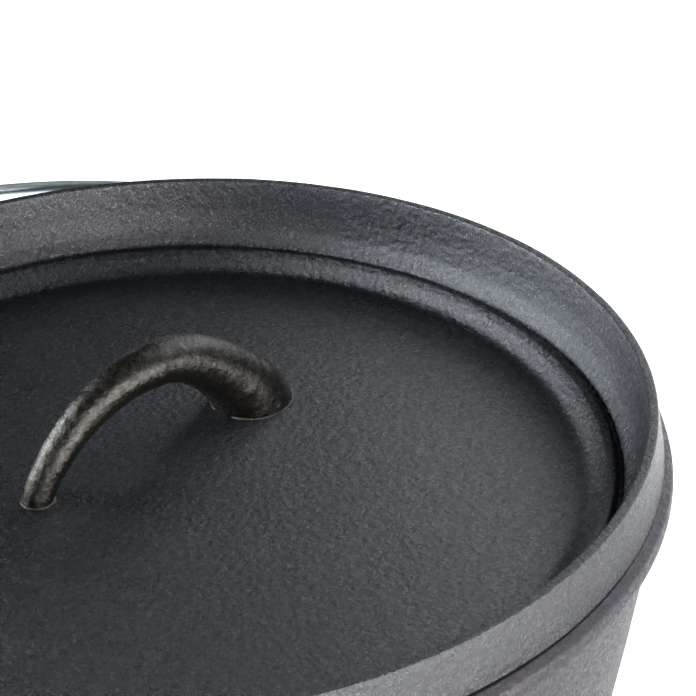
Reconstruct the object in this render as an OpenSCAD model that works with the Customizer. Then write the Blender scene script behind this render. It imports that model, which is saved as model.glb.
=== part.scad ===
// Camp style dutch oven: a cast pot on three legs with a flanged lid,
// a cast loop handle on the lid and a swinging wire bail.
// +Z is up, the origin is under the centre of the pot in the plane of the feet.
// The bail's pivot axis is parallel to Y.

/* [Pot] */
// height of the pot's rim above the feet
rim_z = 138; // [120:1:170]
// outer radius of the rim lip at its widest
rim_r = 165.6; // [140:0.1:180]
// height of the raised rim lip
lip_h = 7.4; // [5:0.1:14]
// outer radius of the wall just under the lip
wall_r = 161; // [135:0.5:175]
// inward lean of the wall, degrees
wall_lean = 9; // [4:0.5:12]
// thickness of the wall and floor
wall_t = 4.6; // [3:0.1:7]
// height of the clear space under the pot
leg_h = 34; // [20:1:45]
// radius of the circle the legs stand on
leg_pitch_r = 116; // [90:1:130]

/* [Lid] */
// height of the lid's flange above the rim
flange_h = 17; // [12:0.5:24]
// outer radius of the flange at its top
flange_r = 160; // [135:0.5:175]
// width of the flange's flat top face
flange_top = 3; // [2:0.1:6]
// radius of the ridge inside the flange
ridge_r = 147.2; // [120:0.1:160]
// radius where the flat plate begins
plate_r = 137.4; // [110:0.1:150]
// gap between the lid's ledge and the pot's rim
seat_gap = 0.2; // [0.1:0.05:0.5]

/* [Lid handle] */
// half the distance between the handle's feet
handle_half = 44.2; // [35:0.1:60]
// height of the handle's centre line above its feet
handle_rise = 30; // [25:0.5:45]
// radius of the handle's bar
bar_r = 6.8; // [4:0.1:8]
// direction of the flared foot, degrees from +X
handle_az = 65; // [0:1:180]

/* [Bail] */
// radius of the bail's wire
wire_r = 2.25; // [1.8:0.05:3]
// radius of the bail's arc, centre line
bail_r = 184; // [175:0.5:200]
// angle of the folded bail above level, degrees
bail_rest = 10; // [5:0.5:30]
// height of the bail's pivot below the flange's top
pivot_drop = 30; // [26:0.5:40]
// running clearance of the wire in the ear's hole, on the radius
pivot_gap = 0.08; // [0.02:0.01:0.1]

/* [Hidden] */
$fn = 96;
top_z = rim_z + flange_h;
piv_z = top_z - pivot_drop;
lip_z = rim_z - seat_gap;
lean = tan(wall_lean);
wall_top = rim_z - lip_h - 2;
foot_r = wall_r - (wall_top - leg_h) * lean;
in_top = wall_r - wall_t;
ear_out = bail_r - 6;
ear_t = 7;
bend_r = 5;
journal = 9.5;
ear_half = 12;
ear_rise = 11.5;
shelf_t = 6.5;
shelf_from = 155;
nub_long = 9;
tail = 5;
handle_at = [-3, 0];
foot_flare = 14.5;
stop_r = 3;
stop_reach = 10;
stop_drop = stop_r + wire_r + 0.05;
arc_R = (handle_half * handle_half + handle_rise * handle_rise) / (2 * handle_rise);
arc_half = asin(handle_half / arc_R);
plate_z = top_z - 29.2;
centre_z = top_z - 19.2;
plate_t = 5.2;

// cast iron surfaces
iron = [0.22, 0.22, 0.23];
steel = [0.66, 0.70, 0.70];

// rounded lower corner of the outside, from the wall's end to the floor
function outer_profile() = [
    [0, leg_h],
    [foot_r - 18, leg_h],
    [foot_r - 9.5, leg_h + 2.4],
    [foot_r - 3.0, leg_h + 8.5],
    [foot_r + 18 * lean, leg_h + 18],
    [wall_r, wall_top],
    [rim_r - 0.2, wall_top + 2],
    [rim_r, wall_top + 3.6],
    [rim_r - 1.6, lip_z],
];

function inner_profile() = [
    [in_top + 0.6, lip_z],
    [in_top, wall_top + 1],
    [foot_r + 20 * lean - wall_t, leg_h + 20],
    [foot_r - 3.0 - wall_t, leg_h + 11],
    [foot_r - 10 - wall_t, leg_h + wall_t + 1.2],
    [foot_r - 19 - wall_t, leg_h + wall_t],
    [0, leg_h + wall_t],
];

module pot_shell()
{
    color(iron)
    rotate_extrude($fn = 180)
    polygon(concat(outer_profile(), inner_profile()));
}

// the outside of the pot as one full body, used to trim what grows from it
module pot_outer()
{
    rotate_extrude($fn = 180)
    polygon(concat(outer_profile(), [[0, lip_z]]));
}

// one ear: a shelf from the rim, a drop plate with the pivot hole, and two stop nubs
module ear()
{
    color(iron)
    difference()
    {
        union()
        {
            translate([-ear_half, shelf_from, piv_z + ear_rise - shelf_t])
            cube([2 * ear_half, ear_out - shelf_from, shelf_t]);
            translate([-ear_half, ear_out - ear_t, piv_z])
            cube([2 * ear_half, ear_t, ear_rise]);
            translate([0, ear_out, piv_z])
            rotate([90, 0, 0])
            cylinder(r = ear_half, h = ear_t);
            for (s = [-1, 1])
            translate([s * (stop_reach * cos(bail_rest) + stop_drop * sin(bail_rest)), ear_out + nub_long - 0.5,
                piv_z + stop_reach * sin(bail_rest) - stop_drop * cos(bail_rest)])
            rotate([90, 0, 0])
            cylinder(r = stop_r, h = nub_long);
        }
        pot_outer();
        translate([0, ear_out + 1, piv_z])
        rotate([90, 0, 0])
        cylinder(r = wire_r + pivot_gap, h = ear_t + 2);
    }
}

module ear_back()
{
    ear();
}

module ear_front()
{
    rotate([0, 0, 180])
    ear();
}

// one leg: a tapered round stub under the pot's floor
module leg()
{
    color(iron)
    translate([leg_pitch_r, 0, 0])
    cylinder(r1 = 6.5, r2 = 10, h = leg_h);
}

module leg_a()
{
    leg();
}

module leg_b()
{
    rotate([0, 0, 120])
    leg();
}

module leg_c()
{
    rotate([0, 0, 240])
    leg();
}

function dome_z(r) = centre_z - (centre_z - plate_z) * (r / plate_r) * (r / plate_r);

// the lid's section, its top side from the centre out and its under side back
function lid_profile() = concat(
    [for (i = [0 : 8]) [plate_r * i / 8, dome_z(plate_r * i / 8)]],
    [
        [plate_r + 1.4, plate_z + 0.5],
        [ridge_r - 5.0, top_z - 25.2],
        [ridge_r - 3.6, top_z - 24.3],
        [ridge_r, top_z - 22.9],
        [ridge_r + 0.7, top_z - 23.4],
        [ridge_r + 1.2, top_z - 25.2],
        [ridge_r + 3.2, top_z - 25.6],
        [ridge_r + 4.3, top_z - 22.6],
        [ridge_r + 5.4, top_z - 21.8],
        [ridge_r + 7.4, top_z - 20],
        [ridge_r + 8.4, top_z - 17],
        [flange_r - flange_top, top_z],
        [flange_r, top_z],
        [flange_r + 1.6, rim_z],
        [in_top - 1.4, rim_z],
        [in_top - 2.2, rim_z - 14],
        [in_top - 5.2, rim_z - 17.4],
    ],
    [for (i = [0 : 8]) [plate_r * (8 - i) / 8, dome_z(plate_r * (8 - i) / 8) - plate_t]]
);

module lid()
{
    color(iron)
    rotate_extrude($fn = 180)
    polygon(lid_profile());
}

// the loop handle: an arched bar with one slender foot and one flared foot
module lid_handle()
{
    color(iron)
    difference()
    {
        translate([handle_at.x, handle_at.y, 0])
        rotate([0, 0, handle_az])
        union()
        {
            translate([0, 0, centre_z + handle_rise - arc_R])
            rotate([90, 0, 0])
            rotate([0, 0, 90 - arc_half - 3])
            rotate_extrude(angle = 2 * arc_half + 6)
            translate([arc_R, 0])
            circle(r = bar_r, $fn = 48);
            translate([handle_half, 0, centre_z - 6])
            cylinder(r1 = foot_flare, r2 = bar_r + 0.4, h = 18);
        }
        rotate_extrude($fn = 180)
        polygon(concat([for (i = [0 : 8]) [plate_r * i / 8, dome_z(plate_r * i / 8)]],
            [[plate_r, rim_z - 30], [0, rim_z - 30]]));
    }
}

// the bail's wire in its own plane: X across the pot, Y along the arms
module bail_wire()
{
    // the arc from arm to arm, tangent to the bend at each end
    a1 = asin(bend_r / (bail_r - bend_r));
    xc = (bail_r - bend_r) * cos(a1);
    rotate([0, 0, a1])
    rotate_extrude(angle = 180 - 2 * a1, $fn = 180)
    translate([bail_r, 0])
    circle(r = wire_r, $fn = 48);
    for (s = [0, 1])
    mirror([s, 0, 0])
    {
        // bend in through the ear, its section drawn a little thin where it is bent
        translate([xc, bend_r, 0])
        rotate([0, 0, -94])
        rotate_extrude(angle = 98 + a1)
        translate([bend_r, 0])
        circle(r = wire_r - 0.05, $fn = 48);
        // straight journal in the ear's hole
        translate([xc, 0, 0])
        rotate([0, -90, 0])
        cylinder(r = wire_r, h = journal, $fn = 48);
        // bend down behind the ear
        translate([xc - journal, -bend_r, 0])
        rotate([0, 0, 86])
        rotate_extrude(angle = 98)
        translate([bend_r, 0])
        circle(r = wire_r - 0.05, $fn = 48);
        // short tail
        translate([xc - bend_r - journal, -bend_r, 0])
        rotate([90, 0, 0])
        cylinder(r = wire_r, h = tail, $fn = 48);
    }
}

module bail()
{
    color(steel)
    translate([0, 0, piv_z])
    rotate([0, bail_rest, 0])
    rotate([0, 0, 90])
    bail_wire();
}

pot_shell();
ear_front();
ear_back();
leg_a();
leg_b();
leg_c();
lid();
lid_handle();
bail();
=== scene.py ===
# A camp dutch oven in grey seasoned cast iron: pot, flanged lid with a loop handle, and a wire bail.
import bpy
import math
from mathutils import Matrix, Vector


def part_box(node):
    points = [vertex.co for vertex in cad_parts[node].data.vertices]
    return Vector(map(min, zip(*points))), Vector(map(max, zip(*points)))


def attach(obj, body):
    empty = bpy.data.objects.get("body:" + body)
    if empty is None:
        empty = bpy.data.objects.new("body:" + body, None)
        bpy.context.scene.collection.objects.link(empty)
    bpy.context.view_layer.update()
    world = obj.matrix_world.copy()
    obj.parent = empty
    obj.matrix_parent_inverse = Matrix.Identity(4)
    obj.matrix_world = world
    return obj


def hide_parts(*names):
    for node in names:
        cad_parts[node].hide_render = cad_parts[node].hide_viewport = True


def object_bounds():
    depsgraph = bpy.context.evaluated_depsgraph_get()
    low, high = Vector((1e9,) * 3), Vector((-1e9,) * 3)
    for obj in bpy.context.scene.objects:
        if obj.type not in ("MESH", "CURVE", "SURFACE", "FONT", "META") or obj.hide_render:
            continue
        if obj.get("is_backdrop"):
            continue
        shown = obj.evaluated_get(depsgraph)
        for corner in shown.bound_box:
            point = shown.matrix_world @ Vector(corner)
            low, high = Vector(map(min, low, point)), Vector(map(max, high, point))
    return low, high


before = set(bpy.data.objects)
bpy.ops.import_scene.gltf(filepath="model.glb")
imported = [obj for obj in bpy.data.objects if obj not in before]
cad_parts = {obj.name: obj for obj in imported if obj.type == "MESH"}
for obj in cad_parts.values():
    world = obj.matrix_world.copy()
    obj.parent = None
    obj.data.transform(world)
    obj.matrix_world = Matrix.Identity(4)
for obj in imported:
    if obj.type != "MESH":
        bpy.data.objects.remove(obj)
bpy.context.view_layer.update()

# ---------------------------------------------------------------- camera
# A long lens close to the lid, looking down across it and turned a little past its middle.
flange_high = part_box("lid")[1].z
away = 0.6933
stand_off = math.radians(-60)
climb = math.radians(31.07)
turn = math.radians(6.09)
tip = math.radians(30.08)
roll = math.radians(-1.92)
level_out = Vector((math.cos(stand_off), math.sin(stand_off), 0))
eye = level_out * away * math.cos(climb) + Vector((0, 0, flange_high + away * math.sin(climb)))
heading = Matrix.Rotation(-turn, 3, "Z") @ -level_out
sight = heading * math.cos(tip) + Vector((0, 0, -math.sin(tip)))
bpy.ops.object.camera_add(location=eye)
camera = bpy.context.object
camera.rotation_mode = "QUATERNION"
level_view = sight.to_track_quat("-Z", "Y").to_matrix()
camera.rotation_quaternion = (Matrix.Rotation(-roll, 3, sight) @ level_view).to_quaternion()
camera.data.sensor_width = 36
camera.data.shift_y = -0.002
camera.data.lens = 112.1
camera.data.clip_start = 0.01
bpy.context.scene.camera = camera

# ---------------------------------------------------------------- floor and light
# A wide flat floor in matt white that glows, so that it stays an even white behind the pot, and seven soft
# boxes standing round it: three on the left, two on the right and two at the back.
bpy.ops.object.select_all(action="DESELECT")
bpy.ops.mesh.primitive_plane_add(size=8, location=(0, 0, 0))
floor = bpy.context.object
floor.name = "floor"
floor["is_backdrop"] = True
floor_paint = bpy.data.materials.new("floor_white")
floor_paint.use_nodes = True
floor_skin = floor_paint.node_tree.nodes["Principled BSDF"]
floor_skin.inputs["Base Color"].default_value = (0.6, 0.6, 0.6, 1)
floor_skin.inputs["Emission Color"].default_value = (1, 1, 1, 1)
floor_skin.inputs["Emission Strength"].default_value = 0.95
floor_skin.inputs["Roughness"].default_value = 0.9
floor_skin.inputs["Specular IOR Level"].default_value = 0.1
floor.data.materials.append(floor_paint)

world = bpy.data.worlds.new("studio")
bpy.context.scene.world = world
world.use_nodes = True
world.node_tree.nodes["Background"].inputs["Color"].default_value = (1, 1, 1, 1)
world.node_tree.nodes["Background"].inputs["Strength"].default_value = 0.06
bpy.context.scene.view_settings.view_transform = "Standard"


def soft_panel(name, place, wide, high, watts, tint):
    """Stands one soft box at a place and turns it to face the pot."""
    bpy.ops.object.light_add(type="AREA", location=place)
    panel = bpy.context.object
    panel.name = name
    panel.rotation_euler = (pot_middle - Vector(place)).to_track_quat("-Z", "Y").to_euler()
    panel.data.shape = "RECTANGLE"
    panel.data.size = wide
    panel.data.size_y = high
    panel.data.energy = watts
    panel.data.color = tint


pot_middle = Vector((0, 0, 0.14))
cool = (0.93, 0.97, 1.0)
warm = (1.0, 0.955, 0.96)
# the boxes on the left and at the back are a cool white, and the two on the right are a warm one
soft_panel("panel_left_low", (-1.59, 0.06, 0.28), 0.9, 0.2, 14, cool)
soft_panel("panel_left_front", (-1.34, -0.87, 0.28), 0.9, 0.2, 22, cool)
soft_panel("panel_left_high", (-1.45, -0.31, 0.74), 0.9, 0.5, 50, cool)
soft_panel("panel_right_low", (1.50, -0.55, 0.28), 0.9, 0.2, 44, warm)
soft_panel("panel_right_front", (1.30, -0.88, 0.47), 0.8, 0.6, 34, warm)
soft_panel("panel_back_right", (0.72, 1.03, 1.13), 0.8, 0.6, 13, cool)
soft_panel("panel_back", (0.13, 1.48, 0.74), 0.8, 0.6, 8, cool)

# ---------------------------------------------------------------- pot
# The pot is one grey iron casting: a round shell with a raised lip at the rim, a leaning wall and a
# flat floor.
# It is cast in a sand mould, so every face carries a fine grain under the baked seasoning.
pot_low, pot_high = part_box("pot_shell")
rim_top = pot_high.z
rim_out = pot_high.x
floor_under = pot_low.z
wall_thick = 0.0046
seat_gap = 0.0002
lip_tall = 0.0094
hub = 0.004
wall_lean = math.tan(math.radians(9))
lip_under = rim_top + seat_gap - lip_tall
lip_reach = 0.0046
wall_out = rim_out - lip_reach
foot_out = wall_out - (lip_under - floor_under) * wall_lean


def rounded(corners):
    """Turns a chain of (radius, height, rounding) corners into points, with an arc at each rounded corner."""
    points = []
    for i, (r, z, soft) in enumerate(corners):
        here = Vector((r, z))
        if soft == 0 or i in (0, len(corners) - 1):
            points.append(here)
            continue
        back = Vector(corners[i - 1][:2]) - here
        ahead = Vector(corners[i + 1][:2]) - here
        half = back.angle(ahead) / 2
        reach = min(soft / math.tan(half), back.length * 0.49, ahead.length * 0.49)
        soft_now = reach * math.tan(half)
        middle = here + (back.normalized() + ahead.normalized()).normalized() * soft_now / math.sin(half)
        start = here + back.normalized() * reach - middle
        end = here + ahead.normalized() * reach - middle
        sweep = start.angle_signed(end)
        steps = max(2, round(abs(sweep) / math.radians(16)))
        for k in range(steps + 1):
            a = -sweep * k / steps
            points.append(middle + Vector((start.x * math.cos(a) - start.y * math.sin(a),
                                           start.x * math.sin(a) + start.y * math.cos(a))))
    return points


def closer(points, longest):
    """Adds points along the long straight stretches, so that the skin can be worked evenly."""
    dense = [points[0]]
    for a, b in zip(points, points[1:]):
        parts = max(1, math.ceil((b - a).length / longest))
        dense += [a.lerp(b, k / parts) for k in range(1, parts + 1)]
    return dense


def turned(name, points, around):
    """Draws a ring out of a small disc, point by point along the section, and closes it at the far pole."""
    bpy.ops.object.select_all(action="DESELECT")
    first = points[0]
    bpy.ops.mesh.primitive_circle_add(vertices=around, radius=first.x, fill_type="TRIFAN",
                                      location=(0, 0, first.y))
    body = bpy.context.object
    body.name = name
    bpy.ops.object.transform_apply(location=True)
    bpy.ops.object.mode_set(mode="EDIT")
    bpy.ops.mesh.select_mode(type="VERT")
    bpy.ops.mesh.select_all(action="DESELECT")
    bpy.ops.object.mode_set(mode="OBJECT")
    for v in body.data.vertices:
        v.select = v.co.xy.length > first.x / 2
    bpy.ops.object.mode_set(mode="EDIT")
    for a, b in zip(points, points[1:]):
        bpy.ops.mesh.extrude_edges_move(TRANSFORM_OT_translate={"value": (0, 0, b.y - a.y)})
        grow = b.x / a.x
        bpy.ops.transform.resize(value=(grow, grow, 1), center_override=(0, 0, b.y))
    bpy.ops.mesh.merge(type="CENTER")
    bpy.ops.mesh.select_all(action="SELECT")
    bpy.ops.mesh.remove_doubles(threshold=1e-6)
    bpy.ops.mesh.normals_make_consistent(inside=False)
    bpy.ops.object.mode_set(mode="OBJECT")
    bpy.ops.object.shade_smooth()
    return body


def cast_waves(piece, size, depth):
    """Lets a skin wander a little, as a sand mould leaves it, and bakes that into the mesh."""
    sand = bpy.data.textures.new(piece.name + "_sand", "CLOUDS")
    sand.noise_scale = size
    sand.noise_depth = 1
    wander = piece.modifiers.new("sand_mould", "DISPLACE")
    wander.texture = sand
    wander.texture_coords = "LOCAL"
    wander.strength = depth
    wander.mid_level = 0.5
    bpy.context.view_layer.objects.active = piece
    bpy.ops.object.modifier_apply(modifier=wander.name)


def cast_iron(name, dark, light, rough, grain, depth, shine, glint):
    """Seasoned cast iron: blotchy oil-baked colour, fine sand grain and a softer orange-peel under it, with
    painted shade in the grain's pits and painted glints on single grains.
    """
    iron = bpy.data.materials.new(name)
    iron.use_nodes = True
    web = iron.node_tree
    nodes, link = web.nodes, web.links.new
    skin = nodes["Principled BSDF"]
    where = nodes.new("ShaderNodeTexCoord")

    def noise(scale, detail, roughness):
        n = nodes.new("ShaderNodeTexNoise")
        n.inputs["Scale"].default_value = scale
        n.inputs["Detail"].default_value = detail
        n.inputs["Roughness"].default_value = roughness
        link(where.outputs["Object"], n.inputs["Vector"])
        return n.outputs["Fac"]

    def spread(source, low, high, to_low, to_high):
        m = nodes.new("ShaderNodeMapRange")
        m.inputs["From Min"].default_value = low
        m.inputs["From Max"].default_value = high
        m.inputs["To Min"].default_value = to_low
        m.inputs["To Max"].default_value = to_high
        link(source, m.inputs["Value"])
        return m.outputs["Result"]

    blotch = noise(28, 3, 0.6)
    fine = noise(1 / grain, 5, 0.8)
    peel = noise(1 / (grain * 3.4), 2, 0.5)
    sand = nodes.new("ShaderNodeTexVoronoi")
    sand.inputs["Scale"].default_value = 0.9 / grain
    link(where.outputs["Object"], sand.inputs["Vector"])
    # colour: darker in the pits of the grain, which is painted shade, and paler on single raised grains,
    # which are painted glints, with slow blotches of baked oil
    tone = nodes.new("ShaderNodeMix")
    tone.data_type = "RGBA"
    tone.inputs["A"].default_value = (*dark, 1)
    tone.inputs["B"].default_value = (*light, 1)
    # one factor for the colour: real oil blotches, plus painted shade in the pits and painted glints on the
    # grains
    blotch_shade_and_glint = nodes.new("ShaderNodeMath")
    blotch_shade_and_glint.operation = "MULTIPLY_ADD"
    link(spread(fine, 0.42, 0.66, 0, 0.8), blotch_shade_and_glint.inputs[0])
    link(spread(sand.outputs["Color"], 0.25, 0.85, 0, 1.6), blotch_shade_and_glint.inputs[1])
    link(spread(blotch, 0.35, 0.65, 0, 0.2), blotch_shade_and_glint.inputs[2])
    link(blotch_shade_and_glint.outputs[0], tone.inputs["Factor"])
    link(tone.outputs["Result"], skin.inputs["Base Color"])
    # gloss: each sand grain has left its own facet, some rubbed smooth and some still dull
    link(spread(sand.outputs["Color"], 0.15, 0.85, rough + 0.16, rough - 0.09), skin.inputs["Roughness"])
    skin.inputs["Specular IOR Level"].default_value = shine
    skin.inputs["Specular Tint"].default_value = (*glint, 1)
    # relief: orange peel first, then the sand grain on it
    swell = nodes.new("ShaderNodeBump")
    swell.inputs["Strength"].default_value = 1.0
    swell.inputs["Distance"].default_value = depth * 2.2
    link(peel, swell.inputs["Height"])
    grit = nodes.new("ShaderNodeBump")
    grit.inputs["Strength"].default_value = 1.0
    grit.inputs["Distance"].default_value = depth
    link(fine, grit.inputs["Height"])
    link(swell.outputs["Normal"], grit.inputs["Normal"])
    link(grit.outputs["Normal"], skin.inputs["Normal"])
    return iron


pot_corners = [
    (hub, floor_under + wall_thick, 0),
    (foot_out - wall_thick + 0.001, floor_under + wall_thick, 0.019),
    (wall_out - wall_thick, lip_under + 0.001, 0.004),
    (wall_out - wall_thick + 0.0006, rim_top, 0.0012),
    (rim_out - 0.0028, rim_top, 0.0008),
    (rim_out - 0.0004, rim_top - 0.0024, 0.0022),
    (rim_out, lip_under + 0.0036, 0.004),
    (rim_out - 0.0004, lip_under + 0.0012, 0.0009),
    (wall_out + 0.0006, lip_under - 0.0008, 0.0018),
    (foot_out, floor_under, 0.020),
    (hub, floor_under, 0),
]
pot = turned("pot_casting", closer(rounded(pot_corners), 0.006), 240)
cast_waves(pot, 0.03, 0.0003)
pot_iron = cast_iron("pot_iron", dark=(0.008, 0.0072, 0.0088), light=(0.032, 0.0312, 0.040), rough=0.42,
                     grain=0.0008, depth=0.00018, shine=0.38, glint=(0.95, 0.96, 1.0))
pot.data.materials.append(pot_iron)
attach(pot, "pot")
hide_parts("pot_shell")

# ---------------------------------------------------------------- lid
# The lid is its own casting: a shallow plate that drops into the pot's mouth, a ridge and a groove round it,
# and a tall leaning flange that holds the coals and rests on the rim.
lid_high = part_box("lid")[1]
lid_top = lid_high.z
flange_out = lid_high.x - 0.0016
flange_tall = 0.017
plate_out = 0.1374
plate_thick = 0.0052
ridge_out = 0.1474
spigot_out = 0.1550
dome_top = lid_top - 0.0192
dome_edge = lid_top - 0.0292


def dome(r):
    """Height of the plate's top face at this distance from its middle."""
    return dome_top - (dome_top - dome_edge) * (r / plate_out) ** 2


plate_rings = [hub] + [plate_out * k / 22 for k in range(1, 22)]
lid_corners = [(r, dome(r), 0) for r in plate_rings] + [
    (plate_out + 0.0006, dome_edge - 0.0001, 0.0050),
    (ridge_out - 0.0050, lid_top - 0.0244, 0.0030),
    (ridge_out - 0.0028, lid_top - 0.0228, 0.0014),
    (ridge_out, lid_top - 0.0225, 0.0012),
    (ridge_out + 0.0014, lid_top - 0.0252, 0.0006),
    (ridge_out + 0.0023, lid_top - 0.0252, 0.0010),
    (ridge_out + 0.0040, lid_top - 0.0222, 0.0030),
    (ridge_out + 0.0064, lid_top - 0.0186, 0.0060),
    (ridge_out + 0.0081, lid_top - 0.0115, 0.0100),
    (flange_out - 0.0033, lid_top - 0.0016, 0.0020),
    (flange_out - 0.0030, lid_top, 0.0006),
    (flange_out, lid_top, 0.0006),
    (flange_out + 0.0027, lid_top - flange_tall, 0.0010),
    (spigot_out, lid_top - flange_tall, 0.0006),
    (spigot_out - 0.0008, lid_top - 0.0330, 0.0030),
    (plate_out + 0.006, dome_edge - 0.0054, 0.0020),
] + [(r, dome(r) - plate_thick, 0) for r in reversed(plate_rings)]
lid = turned("lid_casting", closer(rounded(lid_corners), 0.0055), 240)
cast_waves(lid, 0.025, 0.0003)
lid.data.materials.append(cast_iron("lid_iron", dark=(0.0008, 0.0010, 0.0014), light=(0.0070, 0.0088, 0.0130),
                                    rough=0.25, grain=0.00062, depth=0.00023, shine=0.60,
                                    glint=(0.91, 0.955, 1.0)))
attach(lid, "lid")
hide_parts("lid")

# ---------------------------------------------------------------- lid handle
# The loop is cast with the lid: a round bar that starts slender at one foot and swells like a horn
# towards the other. A thin seam of flash stands round each foot where the core met the plate.
loop_turn = math.radians(65)
loop_middle = Vector((-0.0025, 0.0010, 0))
mm = 0.001
foot_high = dome(0.044)
# stations along the bar, in millimetres: along the loop, above its feet, and the bar's radius
loop_stations = [
    (-44.9, -1.5, 4.9), (-43.1, 3.3, 5.0), (-37.4, 10.9, 5.3), (-28.8, 18.9, 5.7), (-19.2, 24.7, 6.2),
    (-8.4, 28.4, 6.8), (2.0, 29.4, 7.3), (12.0, 27.9, 7.7), (21.5, 23.4, 8.6), (29.6, 17.0, 9.8),
    (36.0, 10.0, 11.2), (40.6, 4.0, 12.5), (43.0, -1.5, 13.5)]


def open_curve(name, kind, knots):
    """Starts an open curve with this many knots, all still to be placed."""
    bpy.ops.object.select_all(action="DESELECT")
    bpy.ops.curve.primitive_bezier_curve_add()
    curve = bpy.context.object
    curve.name = name
    bpy.ops.object.mode_set(mode="EDIT")
    bpy.ops.curve.select_all(action="SELECT")
    if kind != "BEZIER":
        bpy.ops.curve.spline_type_set(type=kind)
    bpy.ops.curve.subdivide(number_cuts=knots - 2)
    bpy.ops.object.mode_set(mode="OBJECT")
    return curve


def round_bar(curve, radius, sides):
    """Gives a curve a round section with closed ends, and turns it into a clean mesh."""
    curve.data.bevel_depth = radius
    curve.data.bevel_resolution = sides
    curve.data.use_fill_caps = True
    bpy.ops.object.convert(target="MESH")
    bar = bpy.context.object
    bpy.ops.object.mode_set(mode="EDIT")
    bpy.ops.mesh.select_all(action="SELECT")
    bpy.ops.mesh.remove_doubles(threshold=1e-6)
    bpy.ops.mesh.normals_make_consistent(inside=False)
    bpy.ops.object.mode_set(mode="OBJECT")
    bpy.ops.object.shade_smooth()
    return bar


loop = open_curve("lid_loop", "BEZIER", len(loop_stations))
along = Vector((math.cos(loop_turn), math.sin(loop_turn), 0))
for knot, (s, h, thick) in zip(loop.data.splines[0].bezier_points, loop_stations):
    knot.handle_left_type = "AUTO"
    knot.handle_right_type = "AUTO"
    knot.co = loop_middle + along * s * mm + Vector((0, 0, foot_high + h * mm))
    knot.radius = thick
loop.data.twist_mode = "Z_UP"
loop.data.resolution_u = 14
loop = round_bar(loop, mm, 14)
cast_waves(loop, 0.006, 0.0007)
cast_waves(loop, 0.0009, 0.0003)
flash_rings = []
for s, ring in ((-44.4, 5.2), (42.4, 13.8)):
    at = loop_middle + along * s * mm
    bpy.ops.object.select_all(action="DESELECT")
    bpy.ops.mesh.primitive_torus_add(major_radius=ring * mm, minor_radius=0.32 * mm, major_segments=96,
                                     minor_segments=8, location=(at.x, at.y, dome(at.length) + 0.2 * mm))
    flash = bpy.context.object
    bpy.ops.object.transform_apply(location=True)
    bpy.ops.object.shade_smooth()
    cast_waves(flash, 0.004, 0.0008)
    flash_rings.append(flash)
loop.data.materials.append(cast_iron("loop_iron", dark=(0.0005, 0.0005, 0.0004),
                                     light=(0.0052, 0.0046, 0.0028), rough=0.22, grain=0.0008,
                                     depth=0.00018, shine=0.34, glint=(1.0, 0.98, 0.90)))
# the flash seams get an iron far paler than the lid round them: a painted highlight that shows each one as a
# thin light ring round its foot
flash_highlight_iron = cast_iron("flash_iron_painted_highlight", dark=(0.02, 0.02, 0.018), light=(0.10, 0.10, 0.09), rough=0.40,
                 grain=0.0007, depth=0.00010, shine=0.45, glint=(1, 1, 1))
for flash in flash_rings:
    flash.data.materials.append(flash_highlight_iron)
bpy.ops.object.select_all(action="DESELECT")
for part in (*flash_rings, loop):
    part.select_set(True)
bpy.context.view_layer.objects.active = loop
bpy.ops.object.join()
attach(loop, "lid")
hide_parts("lid_handle")

# ---------------------------------------------------------------- ears
# Two lugs cast on to the rim, one at each end of the bail's pivot line. Each is a short shelf with a
# drilled plate hanging from its edge, and two nubs on its face that stop the bail when it is folded down.
wire = 0.00225
bail_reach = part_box("bail")[1].y - wire
pivot_drop = 0.030
pivot_high = rim_top + seat_gap + flange_tall - pivot_drop
bail_rest = math.radians(10)
bail_room = 0.006
plate_face = bail_reach - bail_room
plate_deep = 0.007
ear_half = 0.012
ear_top = pivot_high + 0.0115
shelf_under = pivot_high + 0.0050
shelf_from = 0.1600
nub = 0.003
nub_long = 0.0105
nub_reach = 0.010
nub_stand = 0.003
nub_drop = nub + wire + 0.00005
nub_out = nub_reach * math.cos(bail_rest) + nub_drop * math.sin(bail_rest)
nub_high = pivot_high + nub_reach * math.sin(bail_rest) - nub_drop * math.cos(bail_rest)
lying = (math.pi / 2, 0, 0)
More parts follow.
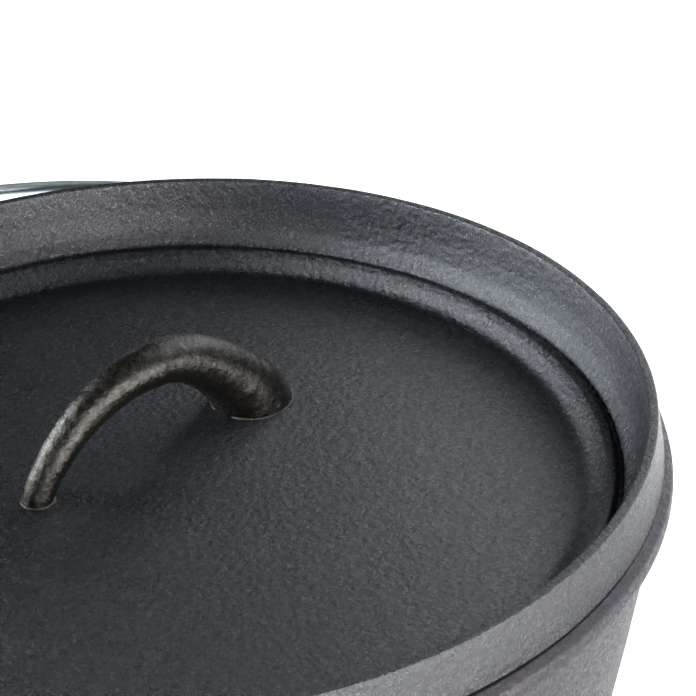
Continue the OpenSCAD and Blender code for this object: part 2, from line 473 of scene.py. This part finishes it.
for side, name in ((1, "ear_back"), (-1, "ear_front")):
    bits = []
    for low, high in (((-ear_half, shelf_from, shelf_under), (ear_half, plate_face, ear_top)),
                      ((-ear_half, plate_face - plate_deep, pivot_high), (ear_half, plate_face, ear_top))):
        low, high = Vector(low), Vector(high)
        bpy.ops.object.select_all(action="DESELECT")
        bpy.ops.mesh.primitive_cube_add(size=1, location=(low + high) / 2, scale=high - low)
        bits.append(bpy.context.object)
    bpy.ops.object.select_all(action="DESELECT")
    bpy.ops.mesh.primitive_cylinder_add(vertices=64, radius=ear_half - 0.0002, depth=plate_deep,
                                        location=(0, plate_face - plate_deep / 2, pivot_high), rotation=lying)
    bits.append(bpy.context.object)
    for hand in (-1, 1):
        bpy.ops.mesh.primitive_cylinder_add(vertices=32, radius=nub, depth=nub_long, rotation=lying,
                                            location=(hand * nub_out, plate_face + nub_stand, nub_high))
        bits.append(bpy.context.object)
    for bit in bits:
        bit.select_set(True)
    bpy.context.view_layer.objects.active = bits[0]
    bpy.ops.object.join()
    lug = bpy.context.object
    lug.name = name + "_lug"
    bpy.ops.object.transform_apply(location=True, rotation=True, scale=True)
    lug.data.remesh_voxel_size = 0.0006
    bpy.ops.object.voxel_remesh()
    soften = lug.modifiers.new("worn_mould", "SMOOTH")
    soften.factor = 0.5
    soften.iterations = 18
    bpy.ops.object.modifier_apply(modifier=soften.name)
    bpy.ops.object.select_all(action="DESELECT")
    bpy.ops.mesh.primitive_cylinder_add(vertices=48, radius=wire + 0.0003, depth=0.03,
                                        location=(0, plate_face, pivot_high), rotation=lying)
    drill = bpy.context.object
    bpy.ops.object.transform_apply(location=True, rotation=True)
    bore = lug.modifiers.new("drill", "BOOLEAN")
    bore.object = drill
    bore.operation = "DIFFERENCE"
    bpy.context.view_layer.objects.active = lug
    bpy.ops.object.modifier_apply(modifier=bore.name)
    bpy.data.objects.remove(drill)
    bpy.ops.object.select_all(action="DESELECT")
    lug.select_set(True)
    if side < 0:
        bpy.ops.transform.rotate(value=math.pi, orient_axis="Z", center_override=(0, 0, 0))
    bpy.ops.object.transform_apply(location=True, rotation=True, scale=True)
    bpy.ops.object.shade_smooth_by_angle(angle=math.radians(40))
    cast_waves(lug, 0.003, 0.0002)
    lug.data.materials.append(pot_iron)
    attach(lug, "pot")
    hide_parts(name)

# ---------------------------------------------------------------- legs
# Three tapered stubs of grey iron, cast in one with the pot under its floor. Each has a small fillet where
# it leaves the pot and a softened edge round its foot.
leg_corners = [
    (0.0008, 0.0001, 0),
    (0.0066, 0.0001, 0.0016),
    (0.0097, floor_under - 0.002, 0.006),
    (0.0130, floor_under + 0.0008, 0),
    (0.0008, floor_under + 0.0010, 0)]
for name in ("leg_a", "leg_b", "leg_c"):
    leg = turned(name + "_stub", closer(rounded(leg_corners), 0.003), 48)
    leg_low, leg_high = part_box(name)
    bpy.ops.object.select_all(action="DESELECT")
    leg.select_set(True)
    bpy.ops.transform.translate(value=((leg_low.x + leg_high.x) / 2, (leg_low.y + leg_high.y) / 2, 0))
    bpy.ops.object.transform_apply(location=True)
    cast_waves(leg, 0.008, 0.0002)
    leg.data.materials.append(pot_iron)
    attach(leg, "pot")
    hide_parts(name)

# ---------------------------------------------------------------- bail
# One length of galvanised steel wire, bent to a half circle. Each end turns in through its ear's hole
# and is bent once more behind it, so that it can't pull out.
bend = 0.005
journal = 0.0095
tail = 0.005
lean_in = math.asin(bend / (bail_reach - bend))
elbow = (bail_reach - bend) * math.cos(lean_in)
half_path = []
for k in range(25):
    a = math.pi / 2 - (math.pi / 2 - lean_in) * k / 24
    half_path.append(Vector((bail_reach * math.cos(a), bail_reach * math.sin(a))))
for k in range(1, 9):
    a = lean_in - (math.pi / 2 + lean_in) * k / 8
    half_path.append(Vector((elbow + bend * math.cos(a), bend + bend * math.sin(a))))
for k in range(1, 4):
    half_path.append(Vector((elbow - journal * k / 3, 0)))
for k in range(1, 9):
    a = math.pi / 2 + math.pi / 2 * k / 8
    half_path.append(Vector((elbow - journal + bend * math.cos(a), -bend + bend * math.sin(a))))
for k in range(1, 4):
    half_path.append(Vector((elbow - journal - bend, -bend - tail * k / 3)))
path = [Vector((-p.x, p.y)) for p in reversed(half_path)] + half_path[1:]
bail = open_curve("bail_wire", "POLY", len(path))
for knot, p in zip(bail.data.splines[0].points, path):
    out = Vector((-math.cos(bail_rest), 0, math.sin(bail_rest))) * p.y
    knot.co = (*(out + Vector((0, p.x, pivot_high))), 1)
bail = round_bar(bail, wire, 8)
zinc = bpy.data.materials.new("galvanised_wire")
zinc.use_nodes = True
web = zinc.node_tree
skin = web.nodes["Principled BSDF"]
skin.inputs["Metallic"].default_value = 1.0
where = web.nodes.new("ShaderNodeTexCoord")
spangle = web.nodes.new("ShaderNodeTexVoronoi")
spangle.inputs["Scale"].default_value = 500
dull = web.nodes.new("ShaderNodeTexNoise")
dull.inputs["Scale"].default_value = 180
dull.inputs["Detail"].default_value = 4
web.links.new(where.outputs["Object"], spangle.inputs["Vector"])
web.links.new(where.outputs["Object"], dull.inputs["Vector"])
tint = web.nodes.new("ShaderNodeMix")
tint.data_type = "RGBA"
tint.inputs["A"].default_value = (0.45, 0.54, 0.54, 1)
tint.inputs["B"].default_value = (0.68, 0.77, 0.77, 1)
web.links.new(dull.outputs["Fac"], tint.inputs["Factor"])
web.links.new(tint.outputs["Result"], skin.inputs["Base Color"])
gloss = web.nodes.new("ShaderNodeMapRange")
gloss.inputs["To Min"].default_value = 0.32
gloss.inputs["To Max"].default_value = 0.52
web.links.new(spangle.outputs["Distance"], gloss.inputs["Value"])
web.links.new(gloss.outputs["Result"], skin.inputs["Roughness"])
ripple = web.nodes.new("ShaderNodeBump")
ripple.inputs["Strength"].default_value = 0.6
ripple.inputs["Distance"].default_value = 0.0001
web.links.new(dull.outputs["Fac"], ripple.inputs["Height"])
web.links.new(ripple.outputs["Normal"], skin.inputs["Normal"])
bail.data.materials.append(zinc)
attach(bail, "bail")
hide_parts("bail")

# ---------------------------------------------------------------- sizes
# The bounds of the finished pieces, leaving out the floor.
low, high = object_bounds()
